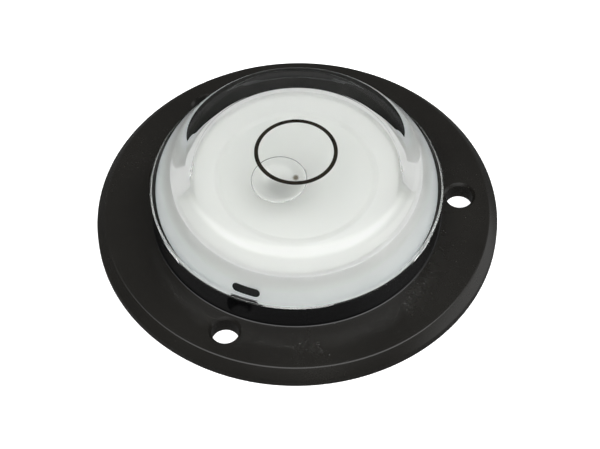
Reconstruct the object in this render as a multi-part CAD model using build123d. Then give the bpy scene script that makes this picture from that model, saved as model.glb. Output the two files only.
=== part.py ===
from build123d import *
import math
import os

# Round surface level: a black flange with three screw holes and a raised collar, a
# thick clear cap that is let into the collar, and a thick white cup with a tapered
# wall that closes the cap from below. They hold spirit with one bubble in it.
# The axis of the level is Z, the underside of the flange lies on Z = 0.

# White cup that closes the chamber from below
cup_rim_radius = 17.5
cup_height = 5.8
cup_taper = 1.8
cup_wall = 0.9
cup_depth = 1.0
cup_draft = 0.2
cup_corner_break = 0.5
cup_step_inset = 3.6
cup_step_depth = 0.3
cup_step_run = 0.9

# Clear cap: skirt in the collar, lip, upright wall, cone and crown
skirt_wall = 2.85
skirt_edge_break = 0.2
lip_overhang = 0.03
cap_wall_height = 1.5
cap_wall_lean = 0.17
cap_cone_run = 4.65
cap_cone_height = 7.2
cap_crown_rise = 1.5
cap_shoulder_rounding = 3.6
chamber_wall_rise = 4.0
chamber_taper = 0.3
chamber_crown_rise = 2.2
chamber_corner_break = 0.9

# Mounting flange with its collar, one moulding
skirt_fit = 0.05
collar_wall = 1.45
collar_rise = 4.6
collar_edge_break = 0.12
collar_root_break = 0.25
flange_land = 9.35
flange_thickness = 3.1
bevel_width = 1.4
bevel_drop = 1.7
rim_edge_break = 0.15
seat_width = 3.3

# Screw holes
hole_count = 3
hole_setback = 3.25
hole_radius = 2.2
hole_sink = 0.45
first_hole_angle = 4.2

# Target ring let into the crown of the cap
ring_mean_radius = 6.4
ring_width = 0.66
ring_depth = 0.12

# Bubble, flattened against the roof of the chamber
bubble_radius = 4.6
bubble_height = 2.4
bubble_offset = 4.8
bubble_direction = 235.7
bubble_film = 0.08

# Black plug let into the outside of the cup
plug_length = 4.3
plug_height = 1.4
plug_depth = 0.7
plug_rise = 2.1
plug_direction = 246.0

# Radii that follow, from the axis outwards
cup_foot_radius = cup_rim_radius + cup_taper
cup_mouth_radius = cup_rim_radius - cup_wall
cup_floor_radius = cup_mouth_radius - cup_draft
skirt_radius = cup_foot_radius + skirt_wall
collar_bore_radius = skirt_radius + skirt_fit
collar_radius = collar_bore_radius + collar_wall
lip_radius = collar_radius + lip_overhang
cap_wall_radius = lip_radius + cap_wall_lean
cap_cone_radius = cap_wall_radius - cap_cone_run
chamber_top_radius = cup_mouth_radius - chamber_taper
hole_circle_radius = collar_radius + hole_setback
flange_radius = collar_radius + flange_land
opening_radius = cup_foot_radius - seat_width

# Levels that follow, from the underside upwards
seat_level = flange_thickness
rim_level = seat_level + cup_height
floor_level = rim_level - cup_depth
collar_top = flange_thickness + collar_rise
cap_wall_top = collar_top + cap_wall_height
cap_cone_top = cap_wall_top + cap_cone_height
cap_apex = cap_cone_top + cap_crown_rise
chamber_wall_top = rim_level + chamber_wall_rise
chamber_apex = chamber_wall_top + chamber_crown_rise


def crown_radius(edge_radius, rise):
    # radius of the sphere through a circle and a point that much above its middle
    return (edge_radius ** 2 + rise ** 2) / (2 * rise)


def crown_mid(edge_radius, edge_level, rise):
    # a point half-way up the arc from the circle to the top
    radius = crown_radius(edge_radius, rise)
    centre = edge_level + rise - radius
    half_angle = math.asin(edge_radius / radius) / 2
    return (radius * math.sin(half_angle), centre + radius * math.cos(half_angle))


def turned(face):
    # a face drawn as (radius, level) is stood up and turned about Z
    return revolve(Plane.XZ * face, axis=Axis.Z)


def outline(corners):
    # closed face from (radius, level) corners
    return make_face(Polyline(*corners, close=True))


def crowned(corners, edge_radius, edge_level, rise):
    # closed face from straight corners that end at the edge of a shallow crown
    apex = (0, edge_level + rise)
    line = Polyline(*corners, (edge_radius, edge_level))
    arc = ThreePointArc((edge_radius, edge_level), crown_mid(edge_radius, edge_level, rise), apex)
    return make_face(line + arc + Line(apex, corners[0]))


def corner_at(face, radius, level):
    # the corner of a face that lies nearest to a radius and a level
    return face.vertices().sort_by_distance((radius, level))[0]


def mounting_flange():
    body = turned(outline([
        (opening_radius, 0),
        (flange_radius - rim_edge_break, 0),
        (flange_radius, rim_edge_break),
        (flange_radius, flange_thickness - bevel_drop),
        (flange_radius - bevel_width, flange_thickness),
        (collar_radius + collar_root_break, flange_thickness),
        (collar_radius, flange_thickness + collar_root_break),
        (collar_radius, collar_top - collar_edge_break),
        (collar_radius - collar_edge_break, collar_top),
        (collar_bore_radius, collar_top),
        (collar_bore_radius, seat_level),
        (opening_radius, seat_level),
    ]))
    screw = turned(outline([
        (0, 0),
        (hole_radius, 0),
        (hole_radius, flange_thickness - hole_sink),
        (hole_radius + hole_sink, flange_thickness),
        (0, flange_thickness),
    ]))
    for index in range(hole_count):
        angle = first_hole_angle + index * 360 / hole_count
        body -= Rot(0, 0, angle) * Pos(hole_circle_radius, 0, 0) * screw
    return body


def cup_inside():
    # corners of the inside of the cup, from its mouth over the stepped floor to the axis
    step_radius = cup_floor_radius - cup_step_inset
    return [
        (cup_mouth_radius, rim_level),
        (cup_floor_radius, floor_level + cup_corner_break),
        (cup_floor_radius - cup_corner_break, floor_level),
        (step_radius, floor_level),
        (step_radius - cup_step_run, floor_level - cup_step_depth),
        (0, floor_level - cup_step_depth),
    ]


def cup_body():
    # the cup before the notch for its plug is cut
    outside = [
        (0, seat_level),
        (cup_foot_radius, seat_level),
        (cup_rim_radius, rim_level),
    ]
    return turned(outline(outside + cup_inside()))


def chamber_roof():
    # hollow of the cap above the rim of the cup
    face = crowned(
        [(0, rim_level), (cup_mouth_radius, rim_level)],
        chamber_top_radius,
        chamber_wall_top,
        chamber_crown_rise,
    )
    corner = corner_at(face, chamber_top_radius, chamber_wall_top)
    return turned(chamfer(corner, chamber_corner_break))


def cup_plug():
    # short bar with round ends, its outside flush with the tapered wall of the cup
    wall_here = cup_foot_radius - cup_taper * plug_rise / cup_height
    bar = extrude(Plane.YZ * SlotOverall(plug_length, plug_height), cup_foot_radius)
    bar = Pos(wall_here - plug_depth, 0, seat_level + plug_rise) * bar
    return Rot(0, 0, plug_direction) * bar & cup_body()


def target_ring():
    # printed line: a thin ring that follows the crown
    inner = ring_mean_radius - ring_width / 2
    outer = ring_mean_radius + ring_width / 2
    radius = crown_radius(cap_cone_radius, cap_crown_rise)
    centre = cap_apex - radius
    inner_top = centre + math.sqrt(radius ** 2 - inner ** 2)
    outer_top = centre + math.sqrt(radius ** 2 - outer ** 2)
    mean_top = centre + math.sqrt(radius ** 2 - ring_mean_radius ** 2)
    crest = ThreePointArc((inner, inner_top), (ring_mean_radius, mean_top), (outer, outer_top))
    floor_line = Polyline(
        (outer, outer_top),
        (outer, outer_top - ring_depth),
        (inner, outer_top - ring_depth),
        (inner, inner_top),
    )
    return turned(make_face(crest + floor_line))


def vial_cap(roof, ring):
    face = crowned(
        [
            (0, seat_level),
            (skirt_radius - skirt_edge_break, seat_level),
            (skirt_radius, seat_level + skirt_edge_break),
            (skirt_radius, collar_top),
            (lip_radius, collar_top),
            (cap_wall_radius, cap_wall_top),
        ],
        cap_cone_radius,
        cap_cone_top,
        cap_crown_rise,
    )
    shoulder = corner_at(face, cap_cone_radius, cap_cone_top)
    cap = turned(fillet(shoulder, cap_shoulder_rounding))
    bore = Cone(
        cup_foot_radius,
        cup_rim_radius,
        cup_height,
        align=(Align.CENTER, Align.CENTER, Align.MIN),
    )
    cap -= Pos(0, 0, seat_level) * bore
    cap -= roof
    cap -= ring
    return cap


def bubble():
    # round drop of air that hangs flat under the roof, its rim a film away from it
    roof_radius = crown_radius(chamber_top_radius, chamber_crown_rise)
    roof_at_rim = math.sqrt(roof_radius ** 2 - bubble_radius ** 2)
    drop = Rot(180, 0, 0) * turned(crowned([(0, 0)], bubble_radius, 0, bubble_height))
    slope = math.degrees(math.asin(bubble_offset / roof_radius))
    drop = Rot(0, slope, 0) * Pos(0, 0, roof_at_rim - bubble_film) * drop
    return Pos(0, 0, chamber_apex - roof_radius) * Rot(0, 0, bubble_direction) * drop


def spirit_fill(roof):
    # what cup and cap hold between them, without the bubble
    in_cup = turned(outline([(0, rim_level)] + cup_inside()))
    return in_cup + roof - bubble()


def save(solid, name):
    export_step(solid, os.path.join("parts", name + ".step"))


os.makedirs("parts", exist_ok=True)
plug_solid = cup_plug()
ring_solid = target_ring()
roof_solid = chamber_roof()
save(mounting_flange(), "mounting_flange")
save(cup_body() - plug_solid, "backing_cup")
save(plug_solid, "fill_plug")
save(ring_solid, "target_ring")
save(vial_cap(roof_solid, ring_solid), "vial_cap")
save(spirit_fill(roof_solid), "spirit_fill")
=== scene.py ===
import math

import bpy
import mathutils
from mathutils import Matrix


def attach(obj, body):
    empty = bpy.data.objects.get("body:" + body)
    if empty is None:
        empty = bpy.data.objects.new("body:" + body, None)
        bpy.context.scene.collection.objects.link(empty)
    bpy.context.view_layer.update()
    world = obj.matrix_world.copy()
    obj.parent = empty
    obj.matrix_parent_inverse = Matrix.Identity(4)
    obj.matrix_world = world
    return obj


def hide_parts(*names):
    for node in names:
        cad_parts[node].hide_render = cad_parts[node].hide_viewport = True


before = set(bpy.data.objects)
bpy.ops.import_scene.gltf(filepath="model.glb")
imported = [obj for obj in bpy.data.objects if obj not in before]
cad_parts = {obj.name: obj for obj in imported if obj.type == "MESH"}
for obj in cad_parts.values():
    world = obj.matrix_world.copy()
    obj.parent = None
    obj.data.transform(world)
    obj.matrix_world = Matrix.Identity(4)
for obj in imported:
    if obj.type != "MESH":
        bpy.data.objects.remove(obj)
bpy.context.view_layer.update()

# Camera: a long lens about 37 cm away that looks down at 53 degrees from the front,
# with the level turned so that its single screw hole lies on the right.
MM = 0.001
camera_height_angle = math.radians(52.816)
camera_distance = 371.2266 * MM
camera_target = mathutils.Vector((0.4402 * MM, -1.1553 * MM, 0.0))
camera_roll = math.radians(-0.9985)
camera_focal = 134.73

sine, cosine = math.sin(camera_height_angle), math.cos(camera_height_angle)
away = mathutils.Vector((0.0, -cosine, sine))
level_right = mathutils.Vector((1.0, 0.0, 0.0))
level_up = mathutils.Vector((0.0, sine, cosine))
right = math.cos(camera_roll) * level_right + math.sin(camera_roll) * level_up
up = -math.sin(camera_roll) * level_right + math.cos(camera_roll) * level_up
eye = camera_target + away * camera_distance
camera_data = bpy.data.cameras.new("camera")
camera_data.sensor_width = 36.0
camera_data.lens = camera_focal
camera_data.clip_start = 0.01
camera = bpy.data.objects.new("camera", camera_data)
camera.matrix_world = mathutils.Matrix((
    (right.x, up.x, away.x, eye.x),
    (right.y, up.y, away.y, eye.y),
    (right.z, up.z, away.z, eye.z),
    (0.0, 0.0, 0.0, 1.0),
))
bpy.context.collection.objects.link(camera)
scene = bpy.context.scene
scene.camera = camera
scene.view_settings.view_transform = "Standard"
scene.cycles.max_bounces = 24
scene.cycles.transmission_bounces = 24
scene.cycles.glossy_bounces = 12

# Light: a dim white tent with a large panel high up on the camera's side, a strip high
# on either side, a weak band at the back, and a low window on the right that catches
# the bevel. Nothing else is bright, so that the flat black faces stay dark.
panel_strength = 3.7
side_strength = 2.2
back_strength = 0.4
window_strength = 1.1
tent_strength = 0.11


class Wire:
    """A shader socket that can stand in sums. Each sum adds its own Math node."""

    def __init__(self, socket):
        self.socket = socket

    @classmethod
    def node(cls, tree, kind, settings=None, output=0, **sockets):
        """Adds a node: its settings first, then its sockets, by name or numbered as i0, i1."""
        added = tree.nodes.new(kind)
        for name, value in (settings or {}).items():
            if name == "stops":
                elements = added.color_ramp.elements
                elements.remove(elements[-1])
                elements[0].position, elements[0].color = value[0]
                for position, colour in value[1:]:
                    elements.new(position).color = colour
            else:
                setattr(added, name, value)
        for name, value in sockets.items():
            numbered = name[0] == "i" and name[1:].isdigit()
            key = int(name[1:]) if numbered else name.replace("_", " ")
            if isinstance(value, Wire):
                tree.links.new(value.socket, added.inputs[key])
            else:
                added.inputs[key].default_value = value
        return cls(added.outputs[output]) if len(added.outputs) else None

    def output(self, index):
        return Wire(self.socket.node.outputs[index])

    def maths(self, operation, **values):
        tree = self.socket.id_data
        return Wire.node(tree, "ShaderNodeMath", {"operation": operation}, **values)

    def __add__(self, other):
        return self.maths("ADD", i0=self, i1=other)

    def __radd__(self, other):
        return self.maths("ADD", i0=other, i1=self)

    def __sub__(self, other):
        return self.maths("SUBTRACT", i0=self, i1=other)

    def __rsub__(self, other):
        return self.maths("SUBTRACT", i0=other, i1=self)

    def __mul__(self, other):
        return self.maths("MULTIPLY", i0=self, i1=other)

    def __rmul__(self, other):
        return self.maths("MULTIPLY", i0=other, i1=self)

    def __abs__(self):
        return self.maths("ABSOLUTE", i0=self)

    def fade(self, start, end):
        """From 0 at start to 1 at end, eased at both."""
        return Wire.node(self.socket.id_data, "ShaderNodeMapRange",
                         {"interpolation_type": "SMOOTHSTEP"},
                         Value=self, From_Min=start, From_Max=end)


tent = bpy.data.worlds.new("tent")
scene.world = tent
tent.use_nodes = True
sky = tent.node_tree
sky.nodes.clear()
direction = Wire.node(sky, "ShaderNodeTexCoord")
across = Wire.node(sky, "ShaderNodeSeparateXYZ", Vector=direction)
along = across.output(1)
height = across.output(2)
toward_panel = height * 0.8 - along * 0.59 + across * 0.08
panel = toward_panel.fade(0.42, 0.95) * height.fade(0.45, 0.85)
sides = abs(across).fade(0.3, 0.6) * height.fade(0.5, 0.8) * (1.0 - along.fade(0.1, 0.5))
back = along.fade(0.3, 0.8) * height.fade(0.2, 0.4) * (1.0 - height.fade(0.5, 0.68))
window = across.fade(0.7, 0.95) * height.fade(-0.3, -0.05) * (1.0 - height.fade(0.2, 0.4))
glow = (panel * panel_strength + sides * side_strength + back * back_strength
        + window * window_strength + tent_strength)
backdrop = Wire.node(sky, "ShaderNodeBackground", Color=(1.0, 1.0, 1.0, 1.0), Strength=glow)
Wire.node(sky, "ShaderNodeOutputWorld", Surface=backdrop)

# Table: a plain white board under the level. It lights itself a little, so that it
# stays white round the object and in the screw holes.
table_half = 3.0
table_drop = 0.02 * MM
table_strength = 0.6


def new_material(name):
    """An empty material."""
    material = bpy.data.materials.new(name)
    material.use_nodes = True
    material.node_tree.nodes.clear()
    return material


table_white = new_material("table_white")
tree = table_white.node_tree
shader = Wire.node(tree, "ShaderNodeBsdfPrincipled", Base_Color=(0.9, 0.9, 0.9, 1.0), Roughness=0.8,
                   Emission_Color=(1.0, 1.0, 1.0, 1.0), Emission_Strength=table_strength)
Wire.node(tree, "ShaderNodeOutputMaterial", Surface=shader)
table_mesh = bpy.data.meshes.new("table")
table_mesh.from_pydata([
    (-table_half, -table_half, 0),
    (table_half, -table_half, 0),
    (table_half, table_half, 0),
    (-table_half, table_half, 0),
], [], [(0, 1, 2, 3)])
table_mesh.materials.append(table_white)
table = bpy.data.objects.new("table", table_mesh)
table.location.z = -table_drop
table.visible_glossy = False
table.visible_transmission = False
bpy.context.collection.objects.link(table)

# Mounting flange: one injection moulding in black plastic, a bevelled disc with three
# countersunk screw holes and a collar, whose wall is polished. The skirt of the cap is
# bonded to the ledge inside the collar. Sizes are in millimetres from here on.
flange_radius = 33.0
flange_thickness = 3.1
bevel_width = 1.4
bevel_drop = 1.7
rim_rounding = 0.15
bevel_foot_rounding = 0.3
bevel_top_rounding = 0.35
collar_radius = 23.65
collar_bore_radius = 22.2
collar_top = 7.7
collar_root_rounding = 0.3
collar_edge_rounding = 0.12
collar_mouth_rounding = 0.57
opening_radius = 16.0
flat_margin = 0.8
hole_count = 3
hole_circle_radius = 26.9
hole_radius = 2.2
hole_sink = 0.45
hole_edge_rounding = 0.12
first_hole_angle = 4.2
drill_below = 1.0
drill_above = 0.4
turning_steps = 576


def rounded(points, steps=6):
    """Points of a profile of (radius, level, rounding) corners.

    A rounding takes up less than half of the line on either side of its corner.
    """
    out = []
    for index, (x, y, rounding) in enumerate(points):
        if rounding <= 0 or index in (0, len(points) - 1):
            out.append((x, y))
            continue
        corner = mathutils.Vector((x, y))
        before = mathutils.Vector(points[index - 1][:2]) - corner
        after = mathutils.Vector(points[index + 1][:2]) - corner
        half = before.angle(after) / 2
        reach = min(rounding / math.tan(half), before.length * 0.49, after.length * 0.49)
        radius = reach * math.tan(half)
        inward = (before.normalized() + after.normalized()).normalized()
        middle = corner + inward * (radius / math.sin(half))
        start = corner + before.normalized() * reach - middle
        end = corner + after.normalized() * reach - middle
        turn = start.angle_signed(end)
        for step in range(steps + 1):
            part = start.copy()
            part.rotate(mathutils.Matrix.Rotation(-turn * step / steps, 2))
            out.append(tuple(middle + part))
    return out


def turned(name, profile, closed=False, segments=turning_steps):
    """A mesh made by turning a profile of (radius, level) points about the upright axis."""
    verts, faces, loops = [], [], []
    for radius, level in profile:
        if radius < 1e-6:
            loops.append([len(verts)])
            verts.append((0.0, 0.0, level * MM))
            continue
        loops.append(list(range(len(verts), len(verts) + segments)))
        for step in range(segments):
            angle = 2 * math.pi * step / segments
            verts.append((radius * MM * math.cos(angle), radius * MM * math.sin(angle), level * MM))
    pairs = list(zip(loops, loops[1:]))
    if closed:
        pairs.append((loops[-1], loops[0]))
    for lower, upper in pairs:
        for step in range(segments):
            following = (step + 1) % segments
            if len(lower) == 1 and len(upper) > 1:
                faces.append((lower[0], upper[following], upper[step]))
            elif len(upper) == 1 and len(lower) > 1:
                faces.append((lower[step], lower[following], upper[0]))
            elif len(lower) > 1:
                faces.append((lower[step], lower[following], upper[following], upper[step]))
    mesh = bpy.data.meshes.new(name)
    mesh.from_pydata(verts, [], faces)
    mesh.update()
    return mesh


def smooth(mesh, angle=35.0):
    """Shades a mesh smoothly, apart from edges that are sharper than an angle in degrees."""
    for face in mesh.polygons:
        face.use_smooth = True
    mesh.set_sharp_from_angle(angle=math.radians(angle))


def place(name, mesh, material, node=None):
    """Puts a mesh into the scene and over the node that it shows."""
    piece = bpy.data.objects.new(name, mesh)
    bpy.context.collection.objects.link(piece)
    mesh.materials.clear()
    mesh.materials.append(material)
    if node:
        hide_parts(node)
    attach(piece, "root")


def noise(tree, scale, detail, roughness):
    """Cloudy noise that lies still in the piece. The scale counts its clouds per metre."""
    spot = Wire.node(tree, "ShaderNodeTexCoord", output=3)
    return Wire.node(tree, "ShaderNodeTexNoise", Vector=spot,
                     Scale=scale, Detail=detail, Roughness=roughness)


def mottled(name, clouds, stops, roughness, index):
    """A black finish with one noise in its colour and its roughness.

    The clouds are the noise's scale, detail and roughness. The roughness of the finish is
    given as its spread and its least value.
    """
    material = new_material(name)
    tree = material.node_tree
    cloud = noise(tree, *clouds)
    spread, least = roughness
    tone = Wire.node(tree, "ShaderNodeValToRGB", {"stops": stops}, Fac=cloud)
    shader = Wire.node(tree, "ShaderNodeBsdfPrincipled", Base_Color=tone,
                       Roughness=cloud * spread + least, IOR=index)
    Wire.node(tree, "ShaderNodeOutputMaterial", Surface=shader)
    return material


black_plastic = new_material("black_plastic")
tree = black_plastic.node_tree
grain = noise(tree, 900.0, 3.0, 0.6)
clouds = noise(tree, 60.0, 4.0, 0.55)
tone = Wire.node(tree, "ShaderNodeValToRGB", {"stops": [
    (0.30, (0.0075, 0.0070, 0.0060, 1.0)),
    (0.75, (0.0105, 0.0098, 0.0084, 1.0)),
]}, Fac=clouds)
relief = Wire.node(tree, "ShaderNodeBump", Strength=0.06, Distance=0.04 * MM, Height=grain)
shader = Wire.node(tree, "ShaderNodeBsdfPrincipled", Base_Color=tone, IOR=1.42, Normal=relief,
                   Roughness=clouds * 0.10 + grain * 0.06 + 0.18)
Wire.node(tree, "ShaderNodeOutputMaterial", Surface=shader)

polished_black = mottled("polished_black", (150.0, 3.0, 0.5), [
    (0.35, (0.0022, 0.0023, 0.0026, 1.0)),
    (0.75, (0.0034, 0.0034, 0.0036, 1.0)),
], (0.08, 0.08), 1.46)
bonded_black = mottled("bonded_black", (180.0, 4.0, 0.6), [
    (0.35, (0.010, 0.010, 0.009, 1.0)),
    (0.80, (0.030, 0.030, 0.027, 1.0)),
], (0.2, 0.4), 1.05)

# The corners without a rounding that lie on flat faces keep those faces shaded flat.
flange_mesh = turned("mounting_flange", rounded([
    (opening_radius, 0.0, 0),
    (opening_radius + 0.4, 0.0, 0),
    (flange_radius - 0.5, 0.0, 0),
    (flange_radius, 0.0, rim_rounding),
    (flange_radius, flange_thickness - bevel_drop, bevel_foot_rounding),
    (flange_radius - bevel_width, flange_thickness, bevel_top_rounding),
    (flange_radius - bevel_width - flat_margin, flange_thickness, 0),
    (collar_radius + flat_margin, flange_thickness, 0),
    (collar_radius, flange_thickness, collar_root_rounding),
    (collar_radius, collar_top, collar_edge_rounding),
    (collar_radius - 0.3, collar_top, 0),
    (collar_bore_radius, collar_top, collar_mouth_rounding),
    (collar_bore_radius, flange_thickness, 0),
    (opening_radius, flange_thickness, 0),
]), closed=True)
drill_profile = rounded([
    (0.0, -drill_below, 0),
    (hole_radius, -drill_below, 0),
    (hole_radius, flange_thickness - hole_sink, hole_edge_rounding),
    (hole_radius + hole_sink, flange_thickness, 0),
    (hole_radius + hole_sink + drill_above, flange_thickness + drill_above, 0),
    (0.0, flange_thickness + drill_above, 0),
], steps=3)
blank = bpy.data.objects.new("blank", flange_mesh)
bpy.context.collection.objects.link(blank)
drills = []
for index in range(hole_count):
    drill = bpy.data.objects.new("drill", turned("drill", drill_profile, segments=64))
    bpy.context.collection.objects.link(drill)
    angle = math.radians(first_hole_angle + 360 / hole_count * index)
    drill.location.x = hole_circle_radius * MM * math.cos(angle)
    drill.location.y = hole_circle_radius * MM * math.sin(angle)
    cut = blank.modifiers.new("screw_hole", "BOOLEAN")
    cut.solver = "EXACT"
    cut.object = drill
    drills.append(drill)
bpy.context.view_layer.update()
finished = blank.evaluated_get(bpy.context.evaluated_depsgraph_get())
drilled = bpy.data.meshes.new_from_object(finished)
for helper in [blank] + drills:
    bpy.data.objects.remove(helper)
smooth(drilled, 28.0)
place("mounting_flange_body", drilled, black_plastic, "mounting_flange")
drilled.materials.append(polished_black)
drilled.materials.append(bonded_black)
for face in drilled.polygons:
    reach = face.center.xy.length / MM
    level = face.center.z / MM
    if level > flange_thickness + 0.02 and reach > collar_bore_radius - 0.1:
        face.material_index = 1
    elif abs(level - flange_thickness) < 0.01 and reach < collar_bore_radius:
        face.material_index = 2

# Backing cup: a tapered cup moulded in white plastic that closes the vial from below.
# Its wall is bonded into the bore of the cap, and its floor steps down in the middle.
# The foot of the wall is given a painted glow: an emission that stands in for light seeping down
# through the milky plastic.
cup_rim_radius = 17.5
cup_foot_radius = 19.3
cup_mouth_radius = 16.6
cup_floor_radius = 16.4
cup_rim = 8.9
cup_floor = 7.9
cup_foot_rounding = 0.1
cup_rim_rounding = 0.08
cup_corner_rounding = 0.61
cup_step_radius = 12.9
cup_step_run = 0.9
cup_step_depth = 0.3
cup_step_rounding = 0.8
boss_radius = 5.5
boss_run = 2.8
boss_rise = 0.5
boss_rounding = 8.0
gate_radius = 1.0
gate_place = (0.8, 0.4)
gate_brown = (0.20, 0.17, 0.11, 1.0)
milk_depth = 2.5
painted_glow_white = (0.87, 0.95, 0.96, 1.0)
painted_glow_strength = 0.32
painted_glow_levels = (8.6, 3.8)
cup_middle = cup_floor - cup_step_depth
boss_top = cup_middle + boss_rise

white_plastic = new_material("white_plastic")
tree = white_plastic.node_tree
spot = Wire.node(tree, "ShaderNodeTexCoord", output=3)
flow = noise(tree, 45.0, 3.0, 0.5)
tone = Wire.node(tree, "ShaderNodeValToRGB", {"stops": [
    (0.3, (0.86, 0.87, 0.84, 1.0)),
    (0.7, (0.89, 0.90, 0.87, 1.0)),
]}, Fac=flow)
gate = tuple(part * MM for part in (*gate_place, boss_top))
from_gate = Wire.node(tree, "ShaderNodeVectorMath", {"operation": "DISTANCE"}, output=1,
                      i0=spot, i1=gate)
gate_mark = from_gate.fade(gate_radius * MM, gate_radius * 0.3 * MM)
tone = Wire.node(tree, "ShaderNodeMix", {"data_type": "RGBA"}, output=2,
                 i0=gate_mark, i6=tone, i7=gate_brown)
# Painted glow: an emission that grows from nothing at the rim to full strength towards the foot of
# the wall.
level = Wire.node(tree, "ShaderNodeSeparateXYZ", Vector=spot).output(2)
painted_glow_mask = level.fade(painted_glow_levels[0] * MM, painted_glow_levels[1] * MM)
painted_glow = Wire.node(tree, "ShaderNodeMix", {"data_type": "RGBA"}, output=2,
                 i0=painted_glow_mask, i6=(0.0, 0.0, 0.0, 1.0), i7=painted_glow_white)
shader = Wire.node(tree, "ShaderNodeBsdfPrincipled", Base_Color=tone,
                   Roughness=flow * 0.1 + 0.45, IOR=1.46,
                   Emission_Color=painted_glow, Emission_Strength=painted_glow_strength,
                   Subsurface_Weight=1.0, Subsurface_Radius=(1.0, 1.0, 1.0),
                   Subsurface_Scale=milk_depth * MM)
Wire.node(tree, "ShaderNodeOutputMaterial", Surface=shader)

cup_mesh = turned("backing_cup", rounded([
    (0.0, flange_thickness, 0),
    (cup_foot_radius, flange_thickness, cup_foot_rounding),
    (cup_rim_radius, cup_rim, cup_rim_rounding),
    (cup_mouth_radius, cup_rim, cup_rim_rounding),
    (cup_floor_radius, cup_floor, cup_corner_rounding),
    (cup_step_radius, cup_floor, cup_step_rounding),
    (cup_step_radius - cup_step_run, cup_middle, cup_step_rounding),
    (boss_radius, cup_middle, boss_rounding),
    (boss_radius - boss_run, boss_top, boss_rounding),
    (0.0, boss_top, 0),
]))
smooth(cup_mesh)
place("backing_cup_body", cup_mesh, white_plastic, "backing_cup")

# Fill plug: a short bar of black rubber pressed into a notch in the wall of the cup. It
# shows through the cap, low down at the front left.
plug_length = 4.3
plug_height = 1.4
plug_depth = 0.7
plug_proud = 0.03
plug_rise = 2.1
plug_direction = math.radians(246.0)
plug_columns = 40

black_rubber = mottled("black_rubber", (1200.0, 2.0, 0.6), [
    (0.3, (0.010, 0.010, 0.010, 1.0)),
    (0.7, (0.018, 0.018, 0.017, 1.0)),
], (0.2, 0.6), 1.5)

plug_end = plug_height / 2
cup_taper = (cup_foot_radius - cup_rim_radius) / (cup_rim - flange_thickness)
plug_verts = []
for column in range(plug_columns + 1):
    side = -plug_length / 2 * math.cos(math.pi * column / plug_columns)
    past = max(abs(side) - (plug_length / 2 - plug_end), 0.0)
    half = math.sqrt(max(plug_end ** 2 - past ** 2, 1e-6))
    for rise in (plug_rise - half, plug_rise + half):
        wall = cup_foot_radius - cup_taper * rise
        angle = plug_direction + side / wall
        level = (flange_thickness + rise) * MM
        for depth in (plug_proud, -plug_depth):
            radius = (wall + depth) * MM
            plug_verts.append((radius * math.cos(angle), radius * math.sin(angle), level))
plug_faces = [(0, 1, 3, 2)]
for column in range(plug_columns):
    here, following = 4 * column, 4 * column + 4
    for first, second in ((0, 2), (2, 3), (3, 1), (1, 0)):
        plug_faces.append((here + first, here + second, following + second, following + first))
last = 4 * plug_columns
plug_faces.append((last, last + 2, last + 3, last + 1))
plug_mesh = bpy.data.meshes.new("fill_plug")
plug_mesh.from_pydata(plug_verts, [], plug_faces)
plug_mesh.update()
smooth(plug_mesh)
place("fill_plug_bar", plug_mesh, black_rubber, "fill_plug")

# Vial cap: turned and polished clear acrylic. Its thick skirt stands in the collar, and
# its lip lies on the collar with a film of air between. The cup is bonded into its
# tapered bore: there the cap is an open shell that ends hidden in the white cup.
skirt_radius = 22.15
skirt_edge_break = 0.2
skirt_sink = 0.03
lip_radius = 23.68
lip_gap = 0.03
lip_root_rounding = 0.7
lip_edge_rounding = 0.03
cap_wall_radius = 23.85
cap_wall_top = 9.2
cap_wall_rounding = 0.25
cap_cone_radius = 19.2
cap_cone_top = 16.4
cap_apex = 17.9
cap_shoulder_rounding = 3.6
bond_depth = 0.1
shell_end_inset = 0.2
acrylic_index = 1.49


def sphere_radius(edge_radius, rise):
    """Radius of the sphere through a circle and a point that much above its middle."""
    return (edge_radius ** 2 + rise ** 2) / (2 * rise)


def crown(edge_radius, edge_level, apex, steps):
    """Points of a shallow spherical crown from its edge to its top."""
    radius = sphere_radius(edge_radius, apex - edge_level)
    widest = math.asin(edge_radius / radius)
    points = []
    for step in range(steps + 1):
        angle = widest * (1 - step / steps)
        points.append((radius * math.sin(angle), apex - radius + radius * math.cos(angle)))
    points[-1] = (0.0, apex)
    return points


def crowned(corners, apex, crown_steps, aim, corner_steps):
    """A rounded profile whose last corner, the shoulder, runs over into a crown.

    The shoulder's rounding aims at one of the crown's points, and the crown is taken up
    again 0.2 mm inside the rounding.
    """
    edge_radius, edge_level, shoulder = corners[-1]
    dome = crown(edge_radius, edge_level, apex, crown_steps)
    side = rounded(corners + [(*dome[aim], 0)], corner_steps)[:-1]
    return side + [point for point in dome if point[0] < side[-1][0] - 0.2]


clear_acrylic = new_material("clear_acrylic")
tree = clear_acrylic.node_tree
polish = noise(tree, 220.0, 2.0, 0.5)
tone = Wire.node(tree, "ShaderNodeValToRGB", {"stops": [
    (0.3, (0.975, 0.990, 0.990, 1.0)),
    (0.7, (0.990, 0.998, 0.996, 1.0)),
]}, Fac=polish)
relief = Wire.node(tree, "ShaderNodeBump", Strength=0.15, Distance=0.03 * MM, Height=polish)
shader = Wire.node(tree, "ShaderNodeBsdfPrincipled", Base_Color=tone, Roughness=0.0,
                   IOR=acrylic_index, Transmission_Weight=1.0, Normal=relief)
Wire.node(tree, "ShaderNodeOutputMaterial", Surface=shader)

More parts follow.
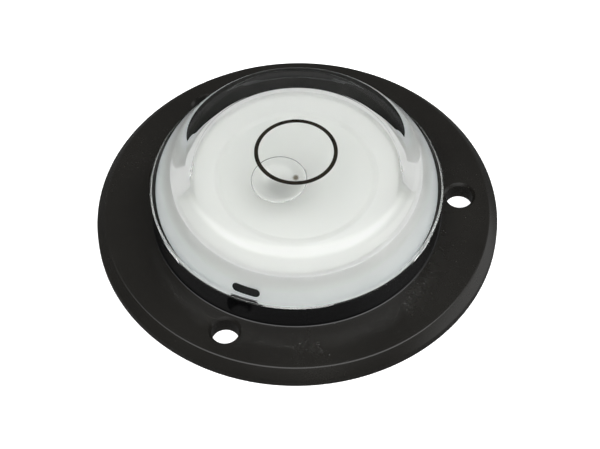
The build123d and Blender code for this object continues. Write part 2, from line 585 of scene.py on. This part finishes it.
cap_profile = crowned([
    (cup_foot_radius - bond_depth, flange_thickness - skirt_sink, 0),
    (skirt_radius - skirt_edge_break, flange_thickness - skirt_sink, 0),
    (skirt_radius, flange_thickness + skirt_edge_break, 0),
    (skirt_radius, collar_top + lip_gap, lip_root_rounding),
    (lip_radius, collar_top + lip_gap, lip_edge_rounding),
    (cap_wall_radius, cap_wall_top, cap_wall_rounding),
    (cap_cone_radius, cap_cone_top, cap_shoulder_rounding),
], cap_apex, crown_steps=40, aim=12, corner_steps=14)
bore_profile = [
    (cup_mouth_radius + shell_end_inset, cup_rim - bond_depth),
    (cup_rim_radius - bond_depth, cup_rim - bond_depth),
]
cap_mesh = turned("vial_cap", bore_profile + cap_profile)
smooth(cap_mesh, 30.0)
place("vial_cap_body", cap_mesh, clear_acrylic, "vial_cap")

# Spirit: the clear liquid that fills the chamber, whose roof is gently domed. The
# liquid's own sides and bottom lie hidden in the white cup.
chamber_top_radius = 16.3
chamber_wall_top = 12.9
chamber_apex = 15.1
chamber_rounding = 1.8
spirit_base = 3.6
spirit_wall_inset = 0.3
spirit_rim_drop = 0.2
spirit_index = 1.478


def clear_finish(name, index, scale, detail, relief_depth):
    """A clear finish. The index is that of the inside divided by that of the outside."""
    material = new_material(name)
    tree = material.node_tree
    relief = Wire.node(tree, "ShaderNodeBump", Strength=0.1, Distance=relief_depth * MM,
                       Height=noise(tree, scale, detail, 0.5))
    shader = Wire.node(tree, "ShaderNodeBsdfGlass", Color=(1.0, 1.0, 1.0, 1.0), Roughness=0.0,
                       IOR=index, Normal=relief)
    Wire.node(tree, "ShaderNodeOutputMaterial", Surface=shader)
    return material


spirit = clear_finish("spirit", spirit_index / acrylic_index, 120.0, 2.0, 0.03)
spirit_mesh = turned("spirit_fill", crowned([
    (0.0, spirit_base, 0),
    (cup_mouth_radius + spirit_wall_inset, spirit_base, 0),
    (cup_mouth_radius + spirit_wall_inset, cup_rim - spirit_rim_drop, 0),
    (cup_mouth_radius, cup_rim, 0),
    (chamber_top_radius, chamber_wall_top, chamber_rounding),
], chamber_apex, crown_steps=30, aim=6, corner_steps=8))
smooth(spirit_mesh, 30.0)
place("spirit_fill_body", spirit_mesh, spirit, "spirit_fill")

# Bubble: air left in the spirit, which presses flat against the roof of the chamber. It
# stands off the middle, in front on the left, as on a surface that isn't quite level.
bubble_radius = 4.7
bubble_height = 2.4
bubble_offset = 4.9
bubble_direction = math.radians(235.7)
bubble_film = 0.08
bubble_rim_width = 0.84
bubble_rim_rounding = 0.22

bubble_skin = clear_finish("bubble_skin", 1.0 / spirit_index, 150.0, 1.0, 0.01)
roof_radius = sphere_radius(chamber_top_radius, chamber_apex - chamber_wall_top)
roof_level = chamber_apex - roof_radius + math.sqrt(roof_radius ** 2 - bubble_offset ** 2)
bubble_tilt = math.asin(bubble_offset / roof_radius)
bubble_sag = roof_radius - math.sqrt(roof_radius ** 2 - bubble_radius ** 2)
belly = [(radius, -level, 0) for radius, level
         in reversed(crown(bubble_radius, 0.0, bubble_height, 48))
         if radius < bubble_radius - bubble_rim_width]
bubble_mesh = turned("bubble", rounded(belly + [
    (bubble_radius, 0.0, bubble_rim_rounding),
    (bubble_radius - 1.0, 0.0, 0),
    (0.0, 0.0, 0),
]), segments=128)
smooth(bubble_mesh, 60.0)
under_roof = mathutils.Matrix.Translation((
    bubble_offset * MM * math.cos(bubble_direction),
    bubble_offset * MM * math.sin(bubble_direction),
    roof_level * MM,
))
facing = mathutils.Matrix.Rotation(bubble_direction, 4, "Z")
lean = mathutils.Matrix.Rotation(bubble_tilt, 4, "Y")
sink = mathutils.Matrix.Translation((0.0, 0.0, -(bubble_sag + bubble_film) * MM))
bubble_mesh.transform(under_roof @ facing @ lean @ sink)
place("bubble", bubble_mesh, bubble_skin)

# Target ring: the thin black circle on the crown, printed in a fine groove. The bubble
# stands under its middle when the surface is level.
ring_mean_radius = 6.36
ring_width = 0.64
ring_depth = 0.12
ring_proud = 0.006

black_ink = mottled("black_ink", (700.0, 2.0, 0.5), [
    (0.35, (0.007, 0.0058, 0.004, 1.0)),
    (0.75, (0.015, 0.012, 0.007, 1.0)),
], (0.2, 0.2), 1.3)

crown_radius = sphere_radius(cap_cone_radius, cap_apex - cap_cone_top)
ring_profile = []
for radius, heights in (
    (ring_mean_radius + ring_width / 2, (-ring_depth, ring_proud)),
    (ring_mean_radius - ring_width / 2, (ring_proud, -ring_depth)),
):
    level = cap_apex - crown_radius + math.sqrt(crown_radius ** 2 - radius ** 2)
    ring_profile += [(radius, level + height) for height in heights]
ring_mesh = turned("target_ring", ring_profile, closed=True)
smooth(ring_mesh)
place("target_ring_line", ring_mesh, black_ink, "target_ring")
